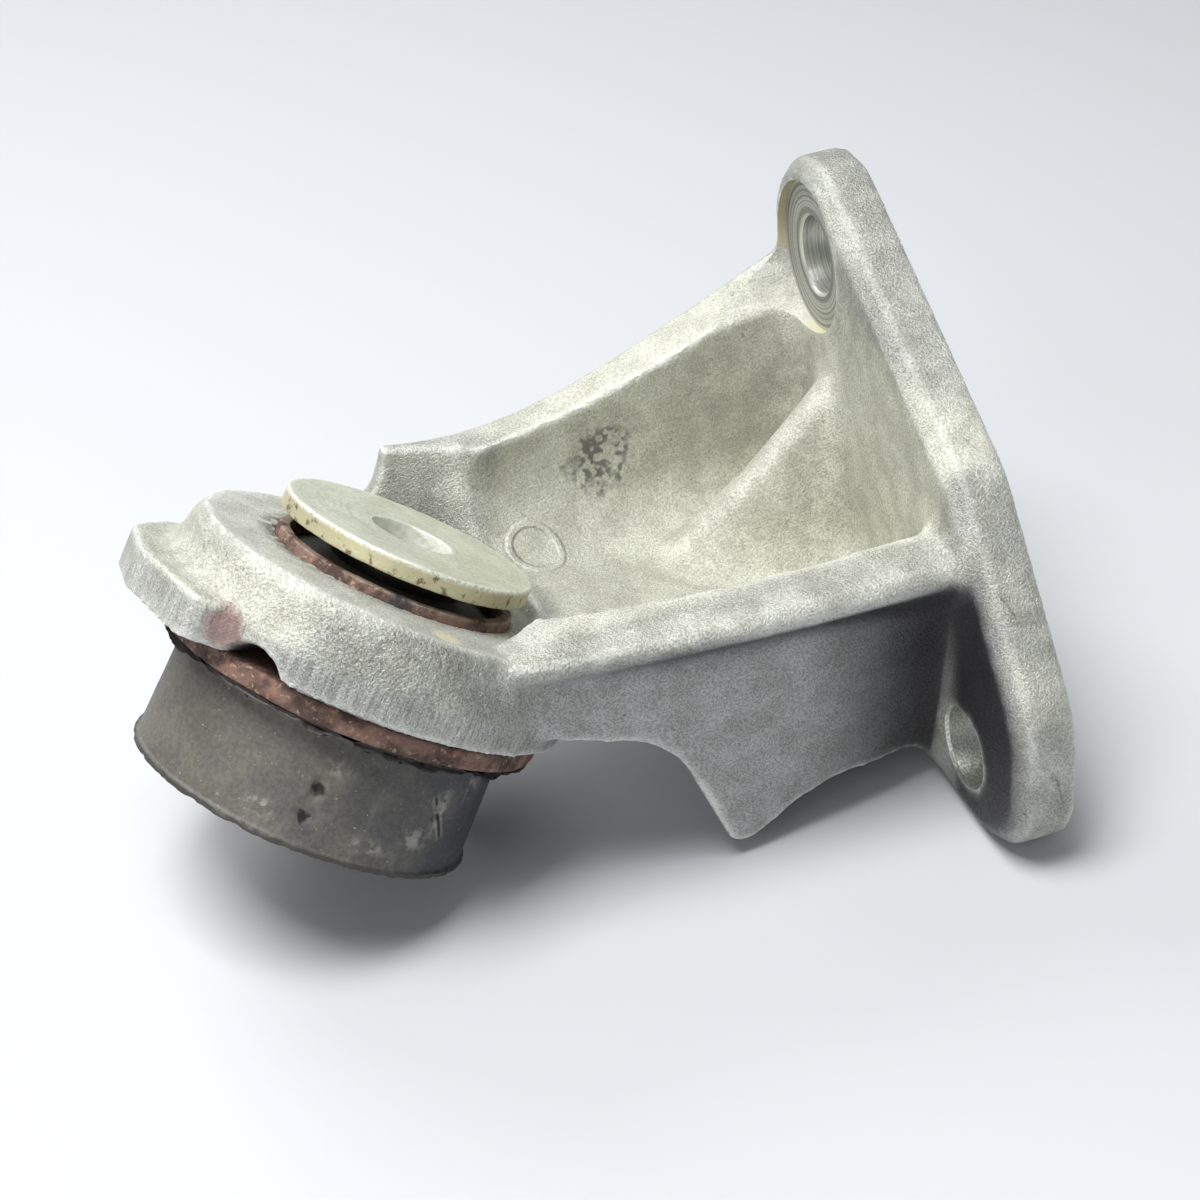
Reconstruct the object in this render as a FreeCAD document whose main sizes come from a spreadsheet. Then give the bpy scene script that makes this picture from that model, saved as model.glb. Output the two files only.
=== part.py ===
"""Engine mount: a cast bracket with a flanged rubber bush pressed into its ring.

Frame: the mounting face lies in X = 0 with the arm reaching towards -X, Z is up and the
origin is the centre of the upper bolt hole. The foot of the flange and the lower rim of
the rubber stand on the same level. Millimetres and degrees throughout.
"""
import FreeCAD, Part
import math
import os
import Sketcher

SIZES = [
    # flange plate
    ("plate_thickness", 9.5),
    ("plate_edge_chamfer", 2.4),
    ("bolt_hole_diameter", 13.0),
    ("upper_lobe_radius", 15.8),
    ("upper_lobe_flat", 1.4),
    ("upper_corner_along", -3.2),
    ("shoulder_along", -54.7),
    ("shoulder_height", -13.0),
    ("shoulder_radius", 18.0),
    ("front_bolt_along", -61.2),
    ("front_bolt_height", -57.9),
    ("front_lobe_margin", 19.0),
    ("front_lobe_rise", 14.0),
    ("front_lobe_radius", 18.0),
    ("front_foot_radius", 14.0),
    ("back_bolt_along", 2.0),
    ("back_lobe_margin", 13.8),
    ("back_lobe_radius", 13.5),
    ("foot_height", -71.0),
    ("counterbore_diameter", 25.4),
    ("counterbore_depth", 1.5),
    # arm: places along it
    ("keel_station", -46.5),
    ("neck_station", -68.5),
    ("seat_station", -71.7),
    ("peak_station", -83.5),
    ("arm_end_station", -91.5),
    # arm: rim and front wall
    ("rim_height", -24.5),
    ("rim_along", -61.0),
    ("rim_width", 8.3),
    ("rim_taper", 1.5),
    ("rim_bead", 2.8),
    ("rim_edge_ease", 1.6),
    ("wall_setback", 2.0),
    ("front_wall", 7.0),
    ("front_foot_along", -48.5),
    ("keel_along", -57.5),
    ("keel_height", -69.5),
    ("keel_half_width", 15.0),
    ("keel_tip_radius", 3.2),
    ("keel_back_reach", 10.0),
    ("keel_back_radius", 14.0),
    ("arch_height", -62.5),
    ("arch_lip", 3.0),
    ("arch_crown", 1.0),
    ("arch_shoulder", 5.0),
    ("arch_shoulder_radius", 6.0),
    ("arch_radius", 18.0),
    ("neck_arch_height", -40.0),
    ("neck_arch_reach", 28.0),
    ("neck_arch_radius", 20.0),
    ("neck_foot_height", -52.5),
    ("arm_end_height", -35.0),
    # arm: back wall
    ("back_along", 14.0),
    ("back_wall", 7.0),
    ("back_draft", 2.0),
    ("back_taper", 4.5),
    ("back_top_height", -3.0),
    ("back_dip_height", -19.5),
    ("back_dip_rise", 2.5),
    ("back_peak_height", -16.5),
    ("back_edge_ease", 1.5),
    ("saddle_radius", 14.0),
    ("saddle_start", 18.0),
    # arm: tray
    ("floor_height", -50.0),
    ("floor_wall", 6.0),
    ("floor_camber", 3.0),
    ("keel_floor_rise", 7.0),
    ("neck_floor_rise", 13.0),
    ("seat_floor_height", -35.5),
    ("tray_corner_radius", 14.0),
    ("tray_lean", 8.0),
    ("keel_lean", 6.0),
    ("seat_lean", 9.0),
    ("tray_mouth", 8.0),
    ("root_ease", 3.0),
    # rib under the upper bolt hole
    ("rib_along", -10.0),
    ("rib_reach", 36.0),
    ("rib_top_height", -14.5),
    ("rib_middle_height", -33.5),
    ("rib_foot_height", -45.5),
    ("rib_crest_width", 5.6),
    ("rib_crest_ease", 1.4),
    ("rib_root_width", 20.0),
    # ring of the casting
    ("ring_x", -89.2),
    ("ring_y", -26.9),
    ("ring_z", -24.0),
    ("lean_forward", 33.8),
    ("lean_back", 13.4),
    ("ring_face_radius", 31.6),
    ("ring_radius", 33.4),
    ("ring_length", 14.5),
    ("ring_band", 4.5),
    ("ring_foot_step", 0.6),
    ("ring_foot_radius", 30.0),
    ("ring_edge_chamfer", 1.3),
    ("ring_bury", 5.5),
    ("seat_relief_radius", 25.7),
    ("nose_reach", 38.5),
    ("nose_root", 19.5),
    ("nose_front", 20.5),
    ("nose_back", 18.0),
    ("nose_bevel", 6.3),
    ("nose_tip_front", 4.0),
    ("nose_tip_back", 8.0),
    ("nose_corner_radius", 2.5),
    ("nose_thickness", 6.8),
    ("notch_radius", 5.6),
    ("notch_rise", 3.7),
    ("notch_angle", 228.0),
    # bush
    ("sleeve_radius", 19.3),
    ("sleeve_wall", 2.0),
    ("sleeve_stand", 1.5),
    ("flange_radius", 31.0),
    ("flange_thickness", 3.5),
    ("flange_chamfer", 0.9),
    ("core_radius", 10.5),
    ("bolt_passage_radius", 6.35),
    ("core_recess", 1.0),
    ("rubber_length", 19.8),
    ("rubber_neck_radius", 25.6),
    ("rubber_foot_radius", 27.5),
    ("rubber_lip", 1.2),
    ("rubber_lip_stand", 0.6),
    ("rubber_rise", 0.5),
    ("rubber_sink", 1.5),
    ("rubber_hollow", 4.0),
    ("washer_radius", 20.2),
    ("washer_thickness", 3.0),
    ("washer_lift", 4.0),
    ("washer_chamfer", 0.5),
    # overlaps and clearances of the construction
    ("weld_overlap", 1.0),
    ("clear_past", 20.0),
    ("bush_clearance", 1.5),
]

doc = FreeCAD.newDocument("EngineMount")
sheet = doc.addObject("Spreadsheet::Sheet", "Sizes")
for row, (alias, value) in enumerate(SIZES, start=1):
    sheet.set(f"A{row}", alias)
    sheet.set(f"B{row}", str(value))
    sheet.setAlias(f"B{row}", alias)
doc.recompute()

NO_TURN = "rotation(vector(0; 0; 1); 0)"
BUSH_TURN = ("rotation(vector(1; 0; 0); -Sizes.lean_back)"
             " * rotation(vector(0; 1; 0); Sizes.lean_forward)")
BUSH_FRAME = f"placement(vector(Sizes.ring_x; Sizes.ring_y; Sizes.ring_z); {BUSH_TURN})"
AXIAL_TURN = "placement(vector(0; 0; 0); rotation(vector(1; 0; 0); 90))"
RING_FOOT_FRAME = f"{BUSH_FRAME} * placement(vector(0; 0; -Sizes.ring_length); {NO_TURN})"
NOTCH_TURN = ("placement(vector(0; 0; 0); rotation(vector(0; 0; 1); Sizes.notch_angle + 90)"
              " * rotation(vector(1; 0; 0); 90))")
TOUCH = 0.01


def expr(text):
    """Turn bare size names into references to the sheet."""
    words = []
    word = ""
    for letter in str(text) + " ":
        if letter.isalnum() or letter == "_":
            word += letter
            continue
        words.append(f"Sizes.{word}" if word in NAMES else word)
        words.append(letter)
        word = ""
    return "".join(words).strip()


NAMES = {alias for alias, _ in SIZES}


def value_of(text):
    """Number that an expression over the sheet has now."""
    return float(sheet.evalExpression(expr(text)))


def new_body(name):
    body = doc.addObject("PartDesign::Body", name)
    body.Label = name
    return body


def new_sketch(body, name, plane, offset="0", frame=None):
    """Sketch on one of the body's own origin planes, moved along its normal or into a frame."""
    sketch = body.newObject("Sketcher::SketchObject", name)
    support = next(item for item in body.Origin.OriginFeatures if item.Role == plane)
    sketch.AttachmentSupport = (support, [""])
    sketch.MapMode = "FlatFace"
    if frame:
        sketch.setExpression("AttachmentOffset", frame)
    else:
        sketch.setExpression("AttachmentOffset.Base.z", expr(offset))
    return sketch


def constrain(sketch, kind, *args, text=None):
    """Add a constraint; a driving one is bound to its expression."""
    if text is None:
        sketch.addConstraint(Sketcher.Constraint(kind, *args))
        return
    index = sketch.addConstraint(Sketcher.Constraint(kind, *args, value_of(text)))
    sketch.setExpression(f"Constraints[{index}]", expr(text))


def draw_circle(sketch, across, up, radius):
    circle = Part.Circle(FreeCAD.Vector(value_of(across), value_of(up), 0),
                         FreeCAD.Vector(0, 0, 1), value_of(radius))
    index = sketch.addGeometry(circle)
    constrain(sketch, "Radius", index, text=radius)
    constrain(sketch, "DistanceX", -1, 1, index, 3, text=across)
    constrain(sketch, "DistanceY", -1, 1, index, 3, text=up)


def draw_outline(sketch, corners):
    """Closed outline through named corners; a corner with a radius is rounded by an arc."""
    points = [FreeCAD.Vector(value_of(c[0]), value_of(c[1]), 0) for c in corners]
    count = len(corners)
    ends = []
    arcs = []
    for i, corner in enumerate(corners):
        here = points[i]
        back = (points[i - 1] - here).normalize()
        ahead = (points[(i + 1) % count] - here).normalize()
        if len(corner) < 3:
            ends.append((here, here))
            arcs.append(None)
            continue
        radius = value_of(corner[2])
        half = back.getAngle(ahead) / 2
        reach = radius / math.tan(half)
        start, stop = here + back * reach, here + ahead * reach
        centre = here + (back + ahead).normalize() * (radius / math.sin(half))
        middle = centre + (here - centre).normalize() * radius
        ends.append((start, stop))
        arcs.append(Part.Arc(start, middle, stop))
    lines = []
    for i in range(count):
        segment = Part.LineSegment(ends[i][1], ends[(i + 1) % count][0])
        lines.append(sketch.addGeometry(segment))
    for i, corner in enumerate(corners):
        before, after = lines[i - 1], lines[i]
        if arcs[i] is None:
            constrain(sketch, "Coincident", before, 2, after, 1)
            constrain(sketch, "DistanceX", -1, 1, after, 1, text=corner[0])
            constrain(sketch, "DistanceY", -1, 1, after, 1, text=corner[1])
            continue
        arc = sketch.addGeometry(arcs[i])
        first = sketch.getPoint(arc, 1)
        ends_swapped = first.distanceToPoint(ends[i][0]) > first.distanceToPoint(ends[i][1])
        start_end, stop_end = (2, 1) if ends_swapped else (1, 2)
        constrain(sketch, "Tangent", before, 2, arc, start_end)
        constrain(sketch, "Tangent", after, 1, arc, stop_end)
        constrain(sketch, "Radius", arc, text=corner[2])
        corner_point = sketch.addGeometry(Part.Point(points[i]), True)
        constrain(sketch, "PointOnObject", corner_point, 1, before)
        constrain(sketch, "PointOnObject", corner_point, 1, after)
        constrain(sketch, "DistanceX", -1, 1, corner_point, 1, text=corner[0])
        constrain(sketch, "DistanceY", -1, 1, corner_point, 1, text=corner[1])


def pad(body, name, sketch, length, reverse=False, midplane=False):
    feature = body.newObject("PartDesign::Pad", name)
    feature.Profile = sketch
    feature.setExpression("Length", expr(length))
    feature.Reversed = reverse
    feature.Midplane = midplane
    return feature


def pocket(body, name, sketch, length, reverse=False, midplane=False):
    feature = body.newObject("PartDesign::Pocket", name)
    feature.Profile = sketch
    feature.setExpression("Length", expr(length))
    feature.Reversed = reverse
    feature.Midplane = midplane
    return feature


def loft(body, name, sketches, cut=False):
    kind = "PartDesign::SubtractiveLoft" if cut else "PartDesign::AdditiveLoft"
    feature = body.newObject(kind, name)
    feature.Profile = sketches[0]
    feature.Sections = sketches[1:]
    return feature


def revolve(body, name, sketch):
    feature = body.newObject("PartDesign::Revolution", name)
    feature.Profile = sketch
    feature.ReferenceAxis = (sketch, ["V_Axis"])
    feature.Angle = 360
    return feature


def ease_edges(body, kind, name, size, chosen):
    """Fillet or chamfer the edges of the tip for which chosen(edge) holds."""
    doc.recompute()
    base = body.Tip
    names = [f"Edge{i}" for i, edge in enumerate(base.Shape.Edges, start=1) if chosen(edge)]
    feature = body.newObject(kind, name)
    feature.Base = (base, names)
    feature.setExpression("Radius" if kind.endswith("Fillet") else "Size", expr(size))
    return feature


# ---------------------------------------------------------------- bracket casting
def flange_plate(body):
    """Bolt flange: upper lobe, shoulder and two lower lobes, with eased inner edges."""
    outline = new_sketch(body, "flange_outline", "YZ_Plane")
    draw_outline(outline, [
        ("upper_corner_along", "upper_lobe_radius", "upper_lobe_radius - upper_lobe_flat"),
        ("shoulder_along", "shoulder_height", "shoulder_radius"),
        ("front_bolt_along - front_lobe_margin", "front_bolt_height + front_lobe_rise",
         "front_lobe_radius"),
        ("front_bolt_along - front_lobe_margin", "foot_height", "front_foot_radius"),
        ("back_bolt_along + back_lobe_margin", "foot_height", "back_lobe_radius"),
        ("upper_lobe_radius", "upper_lobe_radius", "upper_lobe_radius - upper_lobe_flat"),
    ])
    pad(body, "flange_pad", outline, "plate_thickness", reverse=True)
    inner_face = -value_of("plate_thickness")
    ease_edges(body, "PartDesign::Chamfer", "flange_edge_chamfer", "plate_edge_chamfer",
               lambda edge: edge.BoundBox.XMax < inner_face + TOUCH)


def hull_section(body, name, station, rim, rim_edge, foot, web, back_floor, back_wall):
    """Section of the solid arm: rim with its bead, front wall, web, floor and back wall."""
    section = new_sketch(body, name, "YZ_Plane", station)
    draw_outline(section, [
        (f"{rim} + {rim_edge}", "rim_height"),
        (rim, f"rim_height - {rim_edge}"),
        (rim, "rim_height - rim_bead"),
        (f"{rim} + wall_setback", "rim_height - rim_bead - wall_setback"),
        foot,
        (f"{foot[0]} + front_wall", foot[1]),
        web,
        back_floor,
        (back_wall[0], f"{back_wall[1]} - back_edge_ease"),
        (f"{back_wall[0]} - back_edge_ease", back_wall[1]),
    ])
    return section


def arm_hull(body):
    """Front wall, floor and back wall in one loft from the flange into the ring."""
    under_floor = "floor_height - floor_wall"
    flange_end = hull_section(
        body, "hull_at_flange", "weld_overlap - plate_thickness", "rim_along", "rim_edge_ease",
        ("front_foot_along", "foot_height + plate_edge_chamfer"),
        ("front_foot_along + front_wall", under_floor),
        ("back_along - back_draft", f"{under_floor} + floor_camber"),
        ("back_along", "back_top_height"))
    keel = hull_section(
        body, "hull_at_keel", "keel_station", "rim_along", "rim_edge_ease",
        ("keel_along", "foot_height"),
        ("keel_along + front_wall", f"{under_floor} + keel_floor_rise"),
        ("back_along - back_draft - back_taper", f"{under_floor} + keel_floor_rise"),
        ("back_along - back_taper", "back_dip_height + back_dip_rise"))
    neck = hull_section(
        body, "hull_at_neck", "neck_station", "rim_along + rim_taper", "rim_edge_ease / 2",
        ("keel_along", "neck_foot_height"),
        ("keel_along + front_wall", f"{under_floor} + neck_floor_rise"),
        ("back_along - back_draft - 2 * back_taper", f"{under_floor} + neck_floor_rise"),
        ("back_along - 2 * back_taper", "back_dip_height"))
    inside_ring = "ring_y - ring_radius + ring_bury"
    ring_end = hull_section(
        body, "hull_in_ring", "arm_end_station", inside_ring, "rim_edge_ease / 2",
        (f"{inside_ring} + ring_bury", "arm_end_height"),
        (f"{inside_ring} + 2 * ring_bury + front_wall", "arm_end_height"),
        ("ring_y + ring_radius - ring_bury", "arm_end_height"),
        ("ring_y + ring_radius - ring_bury / 4", "back_peak_height"))
    loft(body, "arm_loft", [flange_end, keel, neck, ring_end])


def front_wall_underside(body):
    """Concave lower edges of the front wall on both sides of the keel."""
    profile = new_sketch(body, "underside_profile", "XZ_Plane", "-(rim_along - clear_past)")
    draw_outline(profile, [
        ("-plate_thickness", "foot_height - clear_past"),
        ("-plate_thickness", "foot_height + arch_lip"),
        ("-plate_thickness - arch_shoulder", "arch_height", "arch_shoulder_radius"),
        ("keel_station + keel_half_width", "arch_height + arch_crown", "arch_radius"),
        ("keel_station", "keel_height", "keel_tip_radius"),
        ("keel_station - keel_back_reach", "neck_arch_height - arch_lip - arch_crown",
         "keel_back_radius"),
        ("keel_station - neck_arch_reach", "neck_arch_height", "neck_arch_radius"),
        ("ring_x - ring_radius", "neck_arch_height"),
        ("ring_x - ring_radius", "foot_height - clear_past"),
    ])
    pocket(body, "underside_cut", profile, "2 * clear_past - rim_along + upper_lobe_radius")


def tray_section(body, name, station, front, back, base, corner, lean):
    """Section of the hollow between the walls."""
    section = new_sketch(body, name, "YZ_Plane", station)
    draw_outline(section, [
        (front, "upper_lobe_radius + clear_past"),
        (front, "rim_height + tray_mouth"),
        (f"{front} + {lean}", base, corner),
        (f"{back} - back_draft", base, corner),
        (back, "upper_lobe_radius + clear_past"),
    ])
    return section


def tray(body):
    """Hollow between the walls, open at the top, eased at the flange."""
    front = "rim_along + rim_width"
    back = "back_along - back_wall"
    sections = [
        tray_section(body, "tray_at_flange", "-plate_thickness", front, back,
                     "floor_height", "tray_corner_radius", "tray_lean"),
        tray_section(body, "tray_at_keel", "keel_station", front, f"{back} - back_taper",
                     "floor_height + keel_floor_rise", "tray_corner_radius", "keel_lean"),
        tray_section(body, "tray_at_seat", "seat_station", f"{front} + rim_taper",
                     f"{back} - 2 * back_taper", "seat_floor_height", "tray_corner_radius",
                     "seat_lean"),
    ]
    loft(body, "tray_loft", sections, cut=True)
    doc.recompute()
    inner_face = -value_of("plate_thickness")
    floor = value_of("floor_height") - TOUCH
    ease_edges(body, "PartDesign::Chamfer", "tray_root_ease", "root_ease",
               lambda edge: abs(edge.BoundBox.XMin - inner_face) < TOUCH
               and abs(edge.BoundBox.XMax - inner_face) < TOUCH
               and edge.BoundBox.ZMin > floor and edge.BoundBox.ZMax < floor + TOUCH * 2
               and edge.Length > value_of("tray_corner_radius"))


def rib_section(body, name, station, crest):
    """Section of the centre rib: eased crest and flanks that spread into the floor."""
    section = new_sketch(body, name, "YZ_Plane", station)
    draw_outline(section, [
        ("rib_along - rib_root_width / 2", "floor_height - floor_wall / 2"),
        ("rib_along - rib_crest_width / 2", f"{crest} - rib_crest_ease"),
        ("rib_along - rib_crest_width / 2 + rib_crest_ease", crest),
        ("rib_along + rib_crest_width / 2 - rib_crest_ease", crest),
        ("rib_along + rib_crest_width / 2", f"{crest} - rib_crest_ease"),
        ("rib_along + rib_root_width / 2", "floor_height - floor_wall / 2"),
    ])
    return section


def gusset(body):
    """Centre rib from under the upper bolt hole down to the tray floor."""
    loft(body, "rib_loft", [
        rib_section(body, "rib_at_flange", "weld_overlap - plate_thickness", "rib_top_height"),
        rib_section(body, "rib_at_middle", "-plate_thickness - rib_reach / 2",
                    "rib_middle_height"),
        rib_section(body, "rib_at_foot", "-plate_thickness - rib_reach", "rib_foot_height"),
    ])


def seat_reliefs(body):
    """Room above the ring's face, room below it for the bush flange, and the saddle."""
    face = new_sketch(body, "ring_face_relief", "XY_Plane", frame=BUSH_FRAME)
    draw_circle(face, "0", "0", "seat_relief_radius")
    pocket(body, "ring_face_cut", face, "3 * clear_past", reverse=True)
    below = new_sketch(body, "bush_relief", "XY_Plane", frame=RING_FOOT_FRAME)
    draw_circle(below, "0", "0", "flange_radius + bush_clearance")
    pocket(body, "bush_relief_cut", below, "3 * clear_past")
    saddle = new_sketch(body, "saddle_profile", "XZ_Plane", "-(ring_y + saddle_start)")
    draw_circle(saddle, "peak_station - saddle_radius", "back_peak_height", "saddle_radius")
    pocket(body, "saddle_cut", saddle, "2 * clear_past")


def build_ring():
    """Ring of the casting: drafted wall above a trimmed band, nose and drain notch."""
    body = new_body("ring_casting")
    profile = new_sketch(body, "ring_profile", "XY_Plane", frame=f"{BUSH_FRAME} * {AXIAL_TURN}")
    draw_outline(profile, [
        ("0", "0"),
        ("0", "-ring_length"),
        ("ring_foot_radius", "-ring_length"),
        ("ring_foot_radius + ring_foot_step", "-ring_length + ring_foot_step"),
        ("ring_radius", "-ring_length + ring_foot_step"),
        ("ring_radius", "-ring_length + ring_foot_step + ring_band"),
        ("ring_face_radius", "-ring_edge_chamfer"),
        ("ring_face_radius - ring_edge_chamfer", "0"),
    ])
    revolve(body, "ring_revolve", profile)
    nose = new_sketch(body, "nose_outline", "XY_Plane", frame=RING_FOOT_FRAME)
    draw_outline(nose, [
        ("-nose_root", "-nose_front"),
        ("-nose_reach + nose_bevel", "-nose_front", "nose_corner_radius"),
        ("-nose_reach", "-nose_tip_front", "nose_corner_radius"),
        ("-nose_reach", "nose_tip_back", "2 * nose_corner_radius"),
        ("-nose_reach + nose_bevel", "nose_back", "nose_corner_radius"),
        ("-nose_root", "nose_back"),
    ])
    pad(body, "nose_pad", nose, "nose_thickness")
    notch = new_sketch(body, "notch_profile", "XY_Plane",
                       frame=f"{RING_FOOT_FRAME} * {NOTCH_TURN}")
    draw_circle(notch, "0", "notch_rise - notch_radius", "notch_radius")
    pocket(body, "notch_cut", notch, "2 * ring_radius", reverse=True)
    return body


def join_ring(body, ring):
    """Fuse the ring with the arm and cut the bore of the bush through both."""
    joint = body.newObject("PartDesign::Boolean", "ring_joint")
    joint.setObjects([ring])
    joint.Type = "Fuse"
    bore = new_sketch(body, "bush_bore", "XY_Plane", frame=BUSH_FRAME)
    draw_circle(bore, "0", "0", "sleeve_radius")
    pocket(body, "bush_bore_cut", bore, "ring_length + bush_clearance")


def bolt_holes(body):
    """Three clearance holes and the counterbore of the upper one."""
    outline = new_sketch(body, "bolt_hole_centres", "YZ_Plane")
    draw_circle(outline, "0", "0", "bolt_hole_diameter / 2")
    draw_circle(outline, "front_bolt_along", "front_bolt_height", "bolt_hole_diameter / 2")
    draw_circle(outline, "back_bolt_along", "front_bolt_height", "bolt_hole_diameter / 2")
    pocket(body, "bolt_hole_cut", outline, "2 * plate_thickness", midplane=True)
    seat = new_sketch(body, "counterbore_outline", "YZ_Plane",
                      "counterbore_depth - plate_thickness")
    draw_circle(seat, "0", "0", "counterbore_diameter / 2")
    pocket(body, "counterbore_cut", seat, "2 * clear_past")


def build_casting():
    """Flange, arm and ring of the one-piece casting."""
    ring = build_ring()
    body = new_body("bracket_casting")
    flange_plate(body)
    arm_hull(body)
    front_wall_underside(body)
    tray(body)
    gusset(body)
    seat_reliefs(body)
    join_ring(body, ring)
    bolt_holes(body)
    doc.recompute()
    return body


# ---------------------------------------------------------------- bush
def turned_body(name, corners):
    """Body of revolution about the bush axis."""
    body = new_body(name)
    profile = new_sketch(body, f"{name}_profile", "XZ_Plane")
    draw_outline(profile, corners)
    revolve(body, f"{name}_turned", profile)
    body.setExpression("Placement", BUSH_FRAME)
    return body


def build_sleeve():
    """Steel sleeve in the ring, with the flange that stops it from below."""
    foot = "-ring_length - flange_thickness"
    return turned_body("outer_sleeve", [
        ("sleeve_radius - sleeve_wall", "sleeve_stand"),
        ("sleeve_radius", "sleeve_stand"),
        ("sleeve_radius", "-ring_length"),
        ("flange_radius - flange_chamfer", "-ring_length"),
        ("flange_radius", "-ring_length - flange_chamfer"),
        ("flange_radius", f"{foot} + flange_chamfer"),
        ("flange_radius - flange_chamfer", foot),
        ("sleeve_radius - sleeve_wall", foot),
    ])


def build_rubber():
    """Rubber between the sleeves and the conical body below the flange, with its foot lip."""
    neck = "-ring_length - flange_thickness"
    foot = f"{neck} - rubber_length"
    return turned_body("rubber_body", [
        ("core_radius", "rubber_rise"),
        ("sleeve_radius - sleeve_wall", "-rubber_sink"),
        ("sleeve_radius - sleeve_wall", neck),
        ("rubber_neck_radius", neck),
        ("rubber_foot_radius - rubber_lip_stand", f"{foot} + rubber_lip"),
        ("rubber_foot_radius", f"{foot} + rubber_lip"),
        ("rubber_foot_radius", foot),
        ("core_radius + rubber_hollow", foot),
        ("core_radius", f"{foot} + rubber_hollow / 2"),
    ])


def build_core():
    """Thick steel core with the bolt passage; its foot is set back from the rubber's."""
    foot = "-ring_length - flange_thickness - rubber_length + core_recess"
    return turned_body("inner_sleeve", [
        ("bolt_passage_radius", "washer_lift"),
        ("core_radius", "washer_lift"),
        ("core_radius", foot),
        ("bolt_passage_radius", foot),
    ])


def build_washer():
    """Washer that lies on the core, above the ring."""
    top = "washer_lift + washer_thickness"
    return turned_body("top_washer", [
        ("bolt_passage_radius", "washer_lift"),
        ("washer_radius", "washer_lift"),
        ("washer_radius", f"{top} - washer_chamfer"),
        ("washer_radius - washer_chamfer", top),
        ("bolt_passage_radius + washer_chamfer", top),
        ("bolt_passage_radius", f"{top} - washer_chamfer"),
    ])


def check(bodies):
    """Stop on a failed object or a sub-part without one valid solid."""
    for item in doc.Objects:
        if "Invalid" in item.State or "Error" in item.State:
            raise RuntimeError(f"{item.Name} failed: {item.State}")
    for body in bodies:
        shape = body.Shape
        if shape.isNull() or not shape.isValid() or len(shape.Solids) != 1:
            raise RuntimeError(f"{body.Label} is not one valid solid")


def main():
    bodies = [build_casting(), build_sleeve(), build_rubber(), build_core(), build_washer()]
    doc.recompute()
    check(bodies)
    os.makedirs("parts", exist_ok=True)
    for body in bodies:
        body.Shape.exportStep(f"parts/{body.Label}.step")
        print(body.Label, round(body.Shape.Volume))


if __name__ == "__main__":
    main()
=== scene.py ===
"""Engine mount on a pale studio floor: worked surfaces, finishes, light and camera.

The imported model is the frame. The casting is a copy of its node, turned into a cast skin
with soft corners and sharp machined holes. The turned pieces of the bush are lathed anew
with their wear. Sizes are in millimetres until a mesh is made.
"""
import logging
import math
from dataclasses import dataclass, field
from enum import Enum

import bmesh
import bpy
import numpy as np
from mathutils import Matrix, Vector


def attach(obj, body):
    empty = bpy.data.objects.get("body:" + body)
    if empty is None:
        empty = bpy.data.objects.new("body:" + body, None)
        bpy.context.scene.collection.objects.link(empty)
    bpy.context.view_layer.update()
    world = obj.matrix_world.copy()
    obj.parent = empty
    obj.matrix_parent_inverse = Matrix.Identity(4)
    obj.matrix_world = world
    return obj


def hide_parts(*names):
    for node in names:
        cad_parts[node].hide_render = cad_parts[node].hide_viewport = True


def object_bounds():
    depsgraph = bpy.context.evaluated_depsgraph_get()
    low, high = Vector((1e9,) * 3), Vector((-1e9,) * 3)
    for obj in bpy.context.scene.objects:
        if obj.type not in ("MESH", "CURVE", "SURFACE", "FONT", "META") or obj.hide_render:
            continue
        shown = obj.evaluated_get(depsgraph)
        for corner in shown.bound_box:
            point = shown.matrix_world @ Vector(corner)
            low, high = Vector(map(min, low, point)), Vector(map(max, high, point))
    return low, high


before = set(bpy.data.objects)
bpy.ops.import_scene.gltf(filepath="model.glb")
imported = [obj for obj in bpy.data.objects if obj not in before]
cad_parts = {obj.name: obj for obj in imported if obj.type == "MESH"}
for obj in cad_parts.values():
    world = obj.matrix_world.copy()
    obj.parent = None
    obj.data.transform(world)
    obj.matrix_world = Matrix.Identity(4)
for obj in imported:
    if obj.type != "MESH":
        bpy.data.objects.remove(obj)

Array = np.ndarray
CAD_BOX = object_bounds()
MM = 0.001
LOG = logging.getLogger("engine_mount")
BODY = "root"


# ------------------------------------------------------------------ numbers and noise
def smooth_step(values: Array, low: float, high: float) -> Array:
    """Smooth step from 0 at low to 1 at high.

    Args:
        values: Any array.
        low: Value with result 0.
        high: Value with result 1; it may lie below low.

    Returns:
        Array of the same shape, from 0 to 1.
    """
    share = np.clip((values - low) / (high - low), 0.0, 1.0)
    return share * share * (3.0 - 2.0 * share)


def gates(*limits: tuple) -> Array:
    """Product of smooth steps, each given as its values, low and high."""
    total = smooth_step(*limits[0])
    for limit in limits[1:]:
        total = total * smooth_step(*limit)
    return total


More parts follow.
